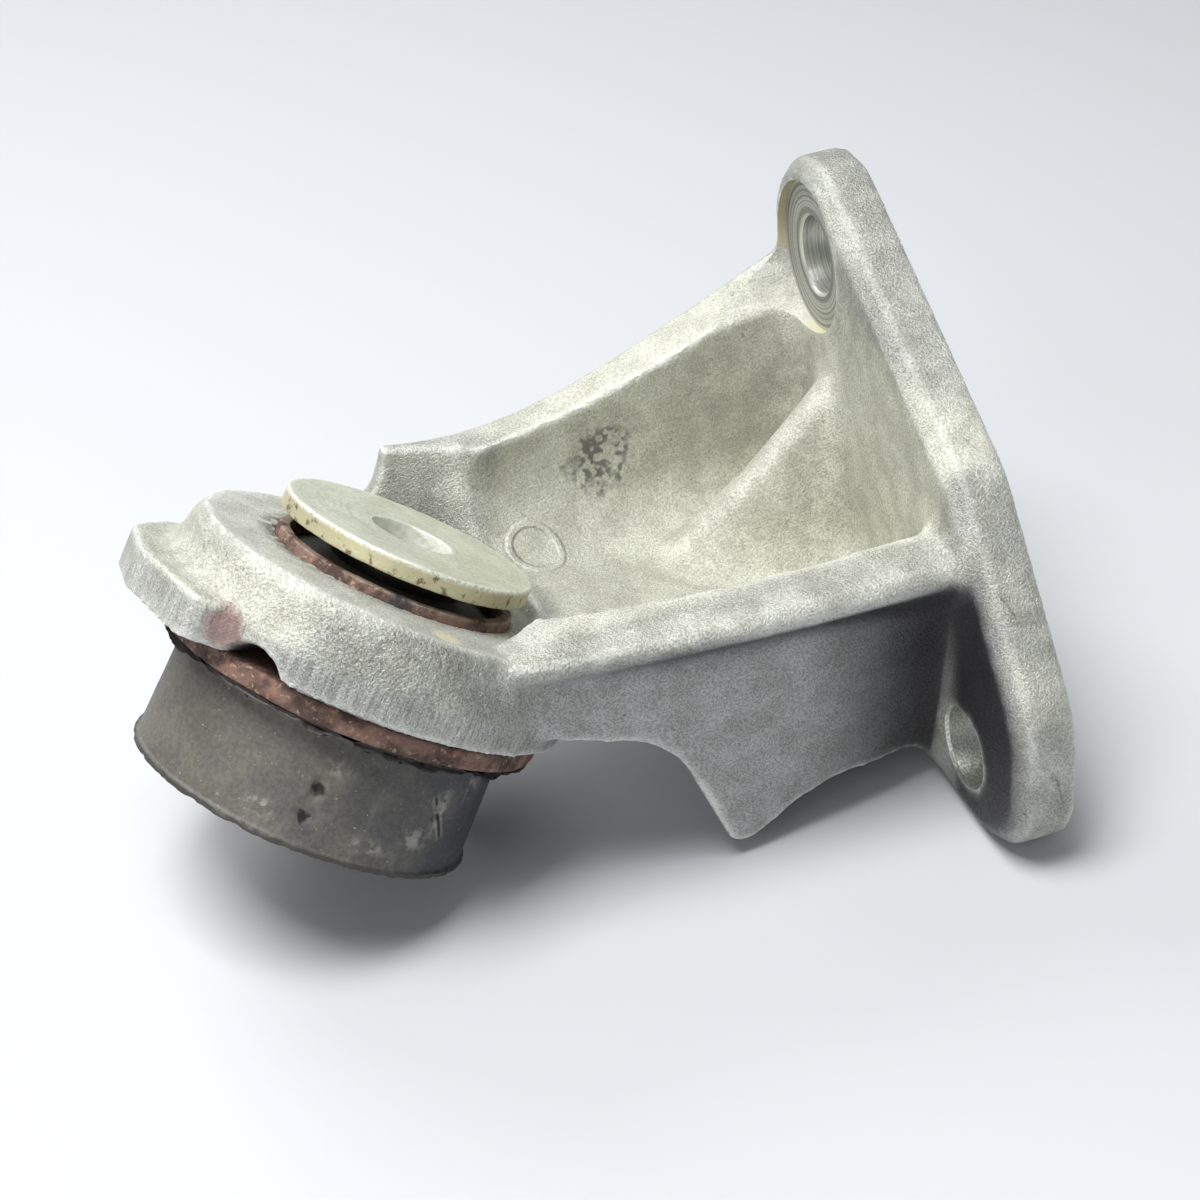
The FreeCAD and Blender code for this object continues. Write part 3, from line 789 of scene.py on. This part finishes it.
class Shader:
    """A material's node tree, built by short calls that return output sockets."""

    def __init__(self, name: str) -> None:
        """Start an empty node tree that ends in a Principled shader."""
        self.material = bpy.data.materials.new(name)
        self.material.use_nodes = True
        self.tree = self.material.node_tree
        self.surface = self.tree.nodes["Principled BSDF"]
        self.place = self.tree.nodes.new("ShaderNodeTexCoord").outputs["Object"]

    def node(self, kind: str, **inputs) -> bpy.types.Node:
        """Add a node and set or link its inputs.

        Args:
            kind: The node's type name.
            inputs: Values or sockets by input name, with spaces written as underscores.

        Returns:
            The new node.
        """
        made = self.tree.nodes.new(kind)
        for name, value in inputs.items():
            self.feed(made.inputs[name.replace("_", " ")], value)
        return made

    def feed(self, socket: Socket, value: object) -> None:
        """Link a socket to another one, or set its value."""
        if isinstance(value, Socket):
            self.tree.links.new(value, socket)
        else:
            socket.default_value = value

    def noise(self, per_metre: float, detail: float = 3.0, rough: float = 0.55,
              place: Socket | None = None) -> Socket:
        """Fractal noise on the object's own coordinates.

        Args:
            per_metre: Waves per metre.
            detail: Number of octaves.
            rough: Strength of the finer octaves.
            place: Coordinates, if not the plain ones.

        Returns:
            A value from 0 to 1.
        """
        made = self.node("ShaderNodeTexNoise", Vector=place or self.place, Scale=per_metre,
                         Detail=detail, Roughness=rough)
        return made.outputs["Fac"]

    def ramp(self, value: Socket, low: float, high: float) -> Socket:
        """Smooth step from 0 at low to 1 at high; low may be the larger one."""
        first, last = (0.0, 1.0) if low < high else (1.0, 0.0)
        made = self.node("ShaderNodeMapRange", Value=value, From_Min=min(low, high),
                         From_Max=max(low, high), To_Min=first, To_Max=last)
        made.interpolation_type = "SMOOTHSTEP"
        return made.outputs["Result"]

    def math(self, operation: str, first: object, second: object = 0.0) -> Socket:
        """Scalar arithmetic on two values or sockets."""
        made = self.tree.nodes.new("ShaderNodeMath")
        made.operation = operation
        self.feed(made.inputs[0], first)
        self.feed(made.inputs[1], second)
        return made.outputs[0]

    def both(self, *values: object) -> Socket:
        """Product of several values or sockets."""
        total = values[0]
        for value in values[1:]:
            total = self.math("MULTIPLY", total, value)
        return total

    def mix(self, share: object, first: object, second: object,
            blend: Blend = Blend.MIX) -> Socket:
        """Blend two colours by a share from 0 to 1."""
        made = self.tree.nodes.new("ShaderNodeMix")
        made.data_type = "RGBA"
        made.blend_type = blend.value
        for index, value in ((0, share), (6, first), (7, second)):
            self.feed(made.inputs[index], value)
        return made.outputs[2]

    def attribute(self, name: str, output: str = "Fac") -> Socket:
        """Value, or vector, that the mesh holds under a name."""
        made = self.tree.nodes.new("ShaderNodeAttribute")
        made.attribute_name = name
        return made.outputs[output]

    def over(self, tone: Socket, colour: object, *shares: object) -> Socket:
        """Lay a colour over another one by the product of the shares."""
        return self.mix(self.both(*shares), tone, colour)

    def shade(self, tone: Socket, strength: float, mask: Socket, dark: tuple) -> Socket:
        """Darken a colour where a mask is low."""
        return self.mix(strength, tone, self.mix(mask, dark, WHITE), Blend.MULTIPLY)

    def vectors(self, operation: str, first: object, second: object = None) -> Socket:
        """Vector arithmetic; a length, distance or dot product comes out as a number."""
        made = self.tree.nodes.new("ShaderNodeVectorMath")
        made.operation = operation
        self.feed(made.inputs[0], first)
        if second is not None:
            self.feed(made.inputs[1], second)
        number = operation in ("LENGTH", "DISTANCE", "DOT_PRODUCT")
        return made.outputs["Value" if number else "Vector"]

    def tool_place(self, along: float, height: float) -> Socket:
        """Coordinates in which noise shows as tool marks round an axis along X.

        Args:
            along: Y of the axis in millimetres.
            height: Z of the axis in millimetres.

        Returns:
            A vector of the distance from the axis and the place along it.
        """
        offset = self.vectors("SUBTRACT", self.place, (0.0, along * MM, height * MM))
        far = self.vectors("LENGTH", self.vectors("MULTIPLY", offset, (0.0, 1.0, 1.0)))
        depth = self.node("ShaderNodeSeparateXYZ", Vector=self.place).outputs["X"]
        return self.node("ShaderNodeCombineXYZ", X=far, Y=depth).outputs[0]

    def reach(self, centre: tuple) -> Socket:
        """Distance in metres from a centre given in millimetres."""
        return self.vectors("DISTANCE", self.place, tuple(part * MM for part in centre))

    def blot(self, centre: tuple, size: float, ragged: float, per_metre: float) -> Socket:
        """Patch with a ragged outline; it makes stain marks, painted shadows and painted shade
        in dents.

        Args:
            centre: Its middle in millimetres.
            size: Its radius in millimetres.
            ragged: How far the outline wanders, in millimetres.
            per_metre: Scale of the outline's lobes.

        Returns:
            A value from 0 to 1.
        """
        wander = self.math("MULTIPLY", self.math("SUBTRACT", self.noise(per_metre, 4.0), 0.5),
                           2.0 * ragged * MM)
        edge = self.math("ADD", self.reach(centre), wander)
        return self.ramp(edge, size * MM, 0.55 * size * MM)

    def stroke(self, start: tuple, stop: tuple, width: float) -> Socket:
        """Scratch between two places given in millimetres."""
        run = Vector(stop) - Vector(start)
        middle = (Vector(start) + Vector(stop)) / 2
        offset = self.vectors("SUBTRACT", self.place, tuple(middle * MM))
        ahead = tuple(run.normalized())
        far = self.vectors("LENGTH", self.vectors("CROSS_PRODUCT", offset, ahead))
        along = self.math("ABSOLUTE", self.vectors("DOT_PRODUCT", offset, ahead))
        across = self.ramp(far, width * MM, 0.3 * width * MM)
        return self.both(across, self.ramp(along, 0.5 * run.length * MM, 0.4 * run.length * MM))

    def bump(self, height: Socket, depth: float, strength: float = 1.0,
             under: Socket | None = None) -> Socket:
        """Normal that shows a height, on top of another normal.

        Args:
            height: A value from 0 to 1.
            depth: Depth in metres.
            strength: Share of the effect.
            under: Normal below it.

        Returns:
            The new normal.
        """
        made = self.node("ShaderNodeBump", Height=height, Distance=depth, Strength=strength)
        if under:
            self.feed(made.inputs["Normal"], under)
        return made.outputs["Normal"]

    def finish(self, **inputs) -> bpy.types.Material:
        """Set the surface's inputs and return the material."""
        for name, value in inputs.items():
            self.feed(self.surface.inputs[name.replace("_", " ")], value)
        return self.material


@dataclass(frozen=True)
class CastAluminium:
    """Cast skin: pale with a greenish cast inside, with painted shade on the outer walls and
    underside.
    """
    pale: tuple = paint(222, 223, 213)
    grey: tuple = paint(184, 185, 177)
    tray: tuple = paint(228, 229, 213)
    face: tuple = paint(232, 234, 223)
    painted_shade: tuple = paint(190, 190, 189)
    painted_deep_shade: tuple = paint(72, 71, 74)
    bright: tuple = paint(240, 241, 236)
    machined: tuple = paint(226, 227, 218)
    spotface: tuple = paint(205, 200, 165)
    dirt_and_shade: tuple = paint(92, 88, 74)
    ink: tuple = paint(58, 55, 66)
    paint_mark: tuple = paint(142, 108, 104)
    cream: tuple = paint(238, 226, 190)

    def build(self) -> bpy.types.Material:
        """Build the material."""
        shader = Shader("cast_aluminium")
        edge_wear_and_highlight, hollow = shader.attribute("wear"), shader.attribute("hollow")
        machined, spot = shader.attribute("machined"), shader.attribute("spotface")
        tray, band = shader.attribute("tray"), shader.attribute("band")
        grain = shader.noise(2800.0, 3.0, 0.7)
        fine = shader.noise(5200.0, 2.0, 0.6)
        clouds = shader.ramp(shader.noise(75.0, 5.0, 0.6), 0.38, 0.66)
        tone = shader.mix(clouds, self.grey, self.pale)
        tone = shader.over(tone, self.tray, tray, 0.75)
        tone = shader.over(tone, self.face, shader.attribute("ring_face"), 0.8)
        # Painted shade on the outer walls and underside, darkest under the rim and near the
        # flange.
        tone = shader.over(tone, self.painted_shade, shader.attribute("painted_shade"))
        tone = shader.over(tone, self.painted_deep_shade, shader.attribute("painted_deep_shade"))
        streaks = shader.noise(2100.0, 3.0, 0.6, shader.attribute("streak", "Vector"))
        trimmed = shader.mix(shader.ramp(streaks, 0.36, 0.64), paint(158, 159, 158),
                             paint(212, 213, 210))
        tone = shader.over(tone, trimmed, band, 0.65)
        speck = shader.ramp(grain, 0.40, 0.60)
        tone = shader.shade(tone, 0.42, speck, paint(126, 126, 126))
        cloudy = shader.ramp(shader.noise(190.0, 4.0, 0.6), 0.36, 0.62)
        tone = shader.shade(tone, 0.35, cloudy, paint(178, 176, 166))
        lit = shader.math("SUBTRACT", 1.0, shader.attribute("painted_shade"))
        glint = shader.both(shader.ramp(fine, 0.56, 0.70), lit)
        tone = shader.over(tone, self.bright, glint, 0.40)
        pits = shader.ramp(shader.noise(900.0, 2.0, 0.5), 0.69, 0.76)
        tone = shader.over(tone, self.dirt_and_shade, pits, 0.45)
        # Hollows darkened, partly soiling and partly painted shade in the corners and pockets.
        grime_and_shade = shader.both(hollow, shader.ramp(shader.noise(220.0, 4.0), 0.28, 0.60))
        tone = shader.over(tone, self.dirt_and_shade, grime_and_shade, 0.75)
        # Convex edges painted light, partly wear and partly painted highlight lines.
        tone = shader.over(tone, self.bright, edge_wear_and_highlight, shader.ramp(grain, 0.22, 0.48))
        # Darker brown ring on the face round the washer, strongest on one side.
        dark_round_washer = shader.both(shader.attribute("dark_round_washer"),
                           shader.ramp(shader.noise(500.0, 4.0), 0.36, 0.56))
        tone = shader.over(tone, paint(70, 62, 50), dark_round_washer, 0.85)
        marks = shader.noise(2600.0, 2.0, 0.6, shader.tool_place(0.0, 0.0))
        cuts = shader.ramp(marks, 0.42, 0.58)
        tone = shader.over(tone, self.spotface, spot, 0.75)
        tone = shader.over(tone, shader.mix(cuts, paint(132, 132, 126), paint(186, 187, 178)),
                           shader.attribute("spot_floor"))
        tone = shader.over(tone, shader.mix(cuts, self.grey, self.machined), machined)
        tone = self.stains_and_shadows(shader, tone)
        rough = shader.mix(machined, shader.mix(speck, grey(0.58), grey(0.42)),
                           grey(0.30))
        coarse = shader.both(grain, shader.math("SUBTRACT", 1.0, machined))
        normal = shader.bump(coarse, 0.00026, 1.0)
        normal = shader.bump(fine, 0.00008, 0.7, normal)
        normal = shader.bump(shader.both(streaks, band), 0.00018, 0.9, normal)
        sandy = shader.both(shader.attribute("sandy"), shader.noise(1000.0, 3.0, 0.6))
        normal = shader.bump(sandy, 0.00045, 1.0, normal)
        cut = shader.math("MAXIMUM", machined, shader.attribute("spot_floor"))
        normal = shader.bump(shader.both(marks, cut), 0.00010, 1.0, normal)
        normal = shader.bump(self.ejector_rings(shader), 0.0003, 1.0, normal)
        face = shader.attribute("ring_face")
        metal = shader.math("ADD", 0.72, shader.both(machined, 0.25))
        metal = shader.math("SUBTRACT", metal, shader.both(face, 0.40))
        metal = shader.math("SUBTRACT", metal, shader.both(tray, 0.30))
        return shader.finish(Base_Color=tone, Metallic=metal, Roughness=rough, Normal=normal)

    def stains_and_shadows(self, shader: Shader, tone: Socket) -> Socket:
        """Ink smudge, paint mark, painted shadows in the tray, pale spot and scratches.

        The ink and the painted shadows of the tray stop inside the back wall, so they don't show
        behind it.
        """
        ink = shader.blot((-47.3, 2.5, -29.0), 7.5, 6.0, 320.0)
        dashes = shader.ramp(shader.noise(700.0, 3.0), 0.44, 0.56)
        along = shader.node("ShaderNodeSeparateXYZ", Vector=shader.place).outputs["Y"]
        inside = shader.ramp(along, 6.5 * MM, 5.0 * MM)
        tone = shader.over(tone, self.ink, ink, dashes, inside, 0.7)
        mark = shader.blot((-117.2, -45.4, -13.6), 3.9, 1.4, 500.0)
        tone = shader.over(tone, self.paint_mark, mark, 0.8)
        # Painted shadows in the tray's pocket, broken up by crumbly noise.
        for centre, size in (((-13.0, -17.0, -33.0), 11.0), ((-11.5, -44.0, -33.0), 9.0),
                             ((-12.0, 1.0, -22.0), 7.0)):
            shadow = shader.blot(centre, size, 9.0, 260.0)
            crumbs = shader.ramp(shader.noise(520.0, 4.0, 0.6), 0.36, 0.62)
            tone = shader.over(tone, self.dirt_and_shade, shadow, crumbs, inside, 0.20)
        spot = shader.blot((-87.2, -53.5, -19.2), 2.7, 0.8, 500.0)
        tone = shader.over(tone, self.cream, spot, 0.7)
        for start, stop, width in (((-6.5, -66.0, -26.6), (-4.8, -68.6, -29.8), 0.30),
                                   ((-3.4, -80.2, -52.0), (-1.8, -80.2, -58.0), 0.28),
                                   ((-30.0, -58.0, -44.0), (-27.0, -58.0, -50.0), 0.25)):
            scratch = shader.stroke(start, stop, width)
            tone = shader.over(tone, paint(90, 88, 86), scratch, 0.45)
        return tone

    def ejector_rings(self, shader: Shader) -> Socket:
        """Round marks of the die's ejector pins on the tray floor."""
        total = None
        for centre, radius in (((-62.6, -9.7, -37.1), 4.7), ((-52.0, -33.0, -42.0), 4.2)):
            far = shader.reach(centre)
            ring = shader.both(shader.ramp(far, (radius - 0.9) * MM, (radius - 0.3) * MM),
                               shader.ramp(far, (radius + 0.9) * MM, (radius + 0.2) * MM))
            total = ring if total is None else shader.math("MAXIMUM", total, ring)
        return total


@dataclass(frozen=True)
class RustySteel:
    """Dark brown rust with gold flecks, bare at the worn end."""
    brown: tuple = paint(130, 101, 90)
    dark: tuple = paint(78, 62, 56)
    orange: tuple = paint(158, 112, 88)
    gold: tuple = paint(190, 164, 128)
    bare: tuple = paint(150, 140, 124)

    def build(self) -> bpy.types.Material:
        """Build the material."""
        shader = Shader("rusty_steel")
        coarse, fine = shader.noise(260.0, 5.0, 0.62), shader.noise(1500.0, 3.0, 0.6)
        tone = shader.mix(shader.ramp(coarse, 0.36, 0.60), self.dark, self.brown)
        tone = shader.over(tone, self.orange, shader.ramp(shader.noise(420.0, 4.0), 0.56, 0.70),
                           0.7)
        tone = shader.over(tone, self.gold,
                           shader.ramp(shader.noise(1100.0, 4.0, 0.65), 0.57, 0.66), 0.6)
        tone = shader.over(tone, paint(62, 60, 60),
                           shader.blot((-91.9, -45.0, -16.9), 2.4, 1.0, 600.0))
        tone = shader.over(tone, self.bare, shader.attribute("end"),
                           shader.ramp(coarse, 0.42, 0.56), 0.6)
        normal = shader.bump(fine, 0.00025)
        rough = shader.mix(shader.ramp(coarse, 0.3, 0.7), grey(0.88), grey(0.62))
        return shader.finish(Base_Color=tone, Metallic=0.15, Roughness=rough, Normal=normal)


@dataclass(frozen=True)
class BushRubber:
    """Aged black rubber, grey with dust, brownish on one side, with pale scuffs."""
    black: tuple = paint(68, 68, 73)
    dust: tuple = paint(108, 105, 95)
    pale: tuple = paint(168, 166, 158)
    hole: tuple = paint(22, 21, 22)
    edge: tuple = paint(48, 45, 43)

    def build(self) -> bpy.types.Material:
        """Build the material."""
        shader = Shader("bush_rubber")
        clouds, fine = shader.noise(120.0, 5.0, 0.6), shader.noise(1400.0, 3.0, 0.6)
        dust = shader.math("ADD", shader.both(shader.attribute("dusty"), 0.75),
                           shader.both(shader.ramp(clouds, 0.40, 0.66), 0.45))
        tone = shader.mix(shader.math("MINIMUM", dust, 1.0), self.black, self.dust)
        tone = shader.shade(tone, 0.35, shader.ramp(fine, 0.38, 0.62), paint(150, 150, 150))
        smears = shader.noise(260.0, 3.0, 0.6, shader.attribute("streak", "Vector"))
        tone = shader.over(tone, self.pale, shader.ramp(smears, 0.60, 0.74), 0.10)
        scuff = shader.both(shader.attribute("scuff"),
                            shader.ramp(shader.noise(650.0, 4.0), 0.44, 0.58))
        tone = shader.over(tone, self.pale, scuff, 0.7)
        crumbs = shader.ramp(shader.noise(1900.0, 1.0), 0.72, 0.77)
        tone = shader.over(tone, self.pale, crumbs, 0.6)
        # The slit: a pale stroke with a near-black core painted as the shade inside the cut.
        split = shader.stroke((-92.6, -55.9, -44.5), (-93.0, -55.6, -53.5), 1.1)
        tone = shader.over(tone, self.pale, split, 0.45)
        tone = shader.over(tone, self.hole,
                           shader.stroke((-92.6, -55.9, -44.5), (-93.0, -55.6, -53.5), 0.5))
        edge = shader.math("MAXIMUM", shader.attribute("film"), shader.attribute("lip"))
        tone = shader.over(tone, self.edge, edge, 0.75)
        # Near-black patches in two dents, painted shade in their depths.
        for centre, size, ragged in (((-109.6, -56.5, -37.6), 1.3, 0.6),
                                     ((-112.6, -57.5, -40.9), 1.3, 1.2)):
            tone = shader.over(tone, self.hole, shader.blot(centre, size, ragged, 900.0))
        normal = shader.bump(fine, 0.00008)
        normal = shader.bump(shader.noise(420.0, 4.0), 0.00020, 0.6, normal)
        return shader.finish(Base_Color=tone, Roughness=0.55, Normal=normal)


@dataclass(frozen=True)
class PlainSteel:
    """Dark oily steel of the core, bare in its bore."""
    grey: tuple = paint(226, 227, 222)
    dark: tuple = paint(46, 42, 38)

    def build(self) -> bpy.types.Material:
        """Build the material."""
        shader = Shader("plain_steel")
        rings = shader.noise(900.0, 3.0, 0.6, shader.attribute("lathe", "Vector"))
        clouds = shader.noise(300.0, 4.0)
        bare = shader.both(shader.attribute("bore"), shader.ramp(clouds, 0.2, 0.5))
        tone = shader.mix(bare, self.dark, self.grey)
        tone = shader.over(tone, paint(90, 84, 74), shader.ramp(rings, 0.5, 0.6), 0.2)
        return shader.finish(Base_Color=tone, Metallic=0.6, Roughness=0.42,
                             Normal=shader.bump(rings, 0.00006))


@dataclass(frozen=True)
class ZincSteel:
    """Plated steel: pale and matt above, yellowed and pitted at the side."""
    pale: tuple = paint(222, 225, 205)
    cloud: tuple = paint(208, 211, 190)
    side: tuple = paint(190, 184, 150)
    rust: tuple = paint(92, 78, 54)
    bright: tuple = paint(240, 242, 232)

    def build(self) -> bpy.types.Material:
        """Build the material."""
        shader = Shader("zinc_steel")
        rings = shader.noise(1100.0, 3.0, 0.6, shader.attribute("lathe", "Vector"))
        clouds, fine = shader.noise(140.0, 5.0, 0.6), shader.noise(1700.0, 3.0, 0.6)
        side, edge = shader.attribute("side"), shader.attribute("edge")
        tone = shader.mix(shader.ramp(clouds, 0.38, 0.62), self.cloud, self.pale)
        tone = shader.over(tone, paint(150, 154, 138), shader.ramp(rings, 0.54, 0.62), 0.18)
        tone = shader.shade(tone, 0.22, shader.ramp(fine, 0.40, 0.60), paint(160, 160, 156))
        tone = shader.over(tone, self.side, side)
        pits = shader.ramp(shader.noise(600.0, 4.0, 0.6), 0.55, 0.66)
        tone = shader.over(tone, self.rust, pits,
                           shader.math("ADD", shader.both(side, 0.75), 0.07))
        tone = shader.over(tone, self.bright, edge, shader.ramp(fine, 0.35, 0.55), 0.8)
        hole = shader.attribute("hole")
        tone = shader.over(tone, self.bright, hole, 0.6)
        normal = shader.bump(fine, 0.00010)
        normal = shader.bump(rings, 0.00007, 0.8, normal)
        rough = shader.mix(shader.ramp(fine, 0.35, 0.65), grey(0.55), grey(0.38))
        return shader.finish(Base_Color=tone, Metallic=0.35, Roughness=rough, Normal=normal)


# ------------------------------------------------------------------ studio
@dataclass(frozen=True)
class Camera:
    """Camera at the viewing angle of the part on a bench, slightly rolled."""
    place: tuple = (-0.1372, -0.3261, 0.1735)
    aim: tuple = (-0.0570, -0.0270, -0.0378)
    roll: float = math.radians(5.33)
    lens: float = 70.5

    def build(self) -> None:
        """Put the camera in the scene."""
        data = bpy.data.cameras.new("camera")
        data.lens = self.lens
        data.sensor_width = 36.0
        camera = linked("camera", data)
        ahead = (Vector(self.aim) - Vector(self.place)).normalized()
        level = ahead.cross(Vector((0.0, 0.0, 1.0))).normalized()
        rise = level.cross(ahead)
        up = rise * math.cos(self.roll) + level * math.sin(self.roll)
        right = ahead.cross(up)
        turn = Matrix((right, up, -ahead)).transposed().to_4x4()
        camera.matrix_world = Matrix.Translation(self.place) @ turn
        bpy.context.scene.camera = camera


@dataclass(frozen=True)
class SoftBox:
    """Square area lamp that points at the part."""
    name: str
    place: tuple
    side: float
    watts: float

    def build(self) -> None:
        """Put the lamp in the scene."""
        data = bpy.data.lights.new(self.name, "AREA")
        data.size = self.side
        data.energy = self.watts
        lamp = linked(self.name, data)
        middle = (Vector(CAD_BOX[0]) + Vector(CAD_BOX[1])) / 2
        lamp.location = self.place
        lamp.rotation_euler = (middle - Vector(self.place)).to_track_quat("-Z", "Y").to_euler()


@dataclass(frozen=True)
class Studio:
    """Floor, backdrop, world light and lamps."""
    world_light: float = 0.22
    lamps: tuple = field(default=(
        SoftBox("top_light", (-0.24, -0.12, 0.78), 0.40, 9.5),
        SoftBox("back_light", (-0.30, 0.65, 0.55), 0.45, 3.5),
        SoftBox("fill_light", (-0.75, -0.60, 0.40), 0.50, 2.0)))

    def floor(self) -> None:
        """Pale floor that the part stands on, running back into a curved backdrop."""
        low = CAD_BOX[0][2]
        width, front, back, bend, wall = 2.4, -1.2, 1.0, 0.4, 1.2
        angles = np.linspace(0.0, math.pi / 2, 24)
        ys = np.concatenate(([front], back + bend * np.sin(angles), [back + bend]))
        zs = np.concatenate(([low], low + bend * (1 - np.cos(angles)), [low + bend + wall]))
        left = np.stack((np.full_like(ys, -width), ys, zs), axis=1)
        right = left * (-1, 1, 1)
        points = np.concatenate((left, right))
        count = len(ys)
        faces = [(i, i + count, i + count + 1, i + 1) for i in range(count - 1)]
        mesh = bpy.data.meshes.new("floor")
        mesh.from_pydata(points.tolist(), [], faces)
        floor = linked("floor", mesh)
        shader = Shader("floor")
        mesh.materials.append(shader.finish(Base_Color=paint(196, 198, 201), Roughness=0.6))

    def world(self) -> None:
        """Even pale light from all round."""
        world = bpy.data.worlds.new("world")
        bpy.context.scene.world = world
        world.use_nodes = True
        sky = world.node_tree.nodes["Background"]
        sky.inputs["Color"].default_value = (0.92, 0.96, 1.0, 1.0)
        sky.inputs["Strength"].default_value = self.world_light

    def build(self) -> None:
        """Build the whole studio."""
        self.floor()
        self.world()
        for lamp in self.lamps:
            lamp.build()


FINISHES = {
    "rusty_steel": RustySteel(),
    "bush_rubber": BushRubber(),
    "plain_steel": PlainSteel(),
    "zinc_steel": ZincSteel(),
}


def main() -> None:
    """Build the scene piece by piece."""
    logging.basicConfig(level=logging.INFO)
    bpy.context.scene.view_settings.view_transform = "Standard"
    Casting().build(CastAluminium().build())
    for slot, piece in PIECES.items():
        piece.build(FINISHES[slot].build())
    Studio().build()
    Camera().build()


if __name__ == "__main__":
    main()
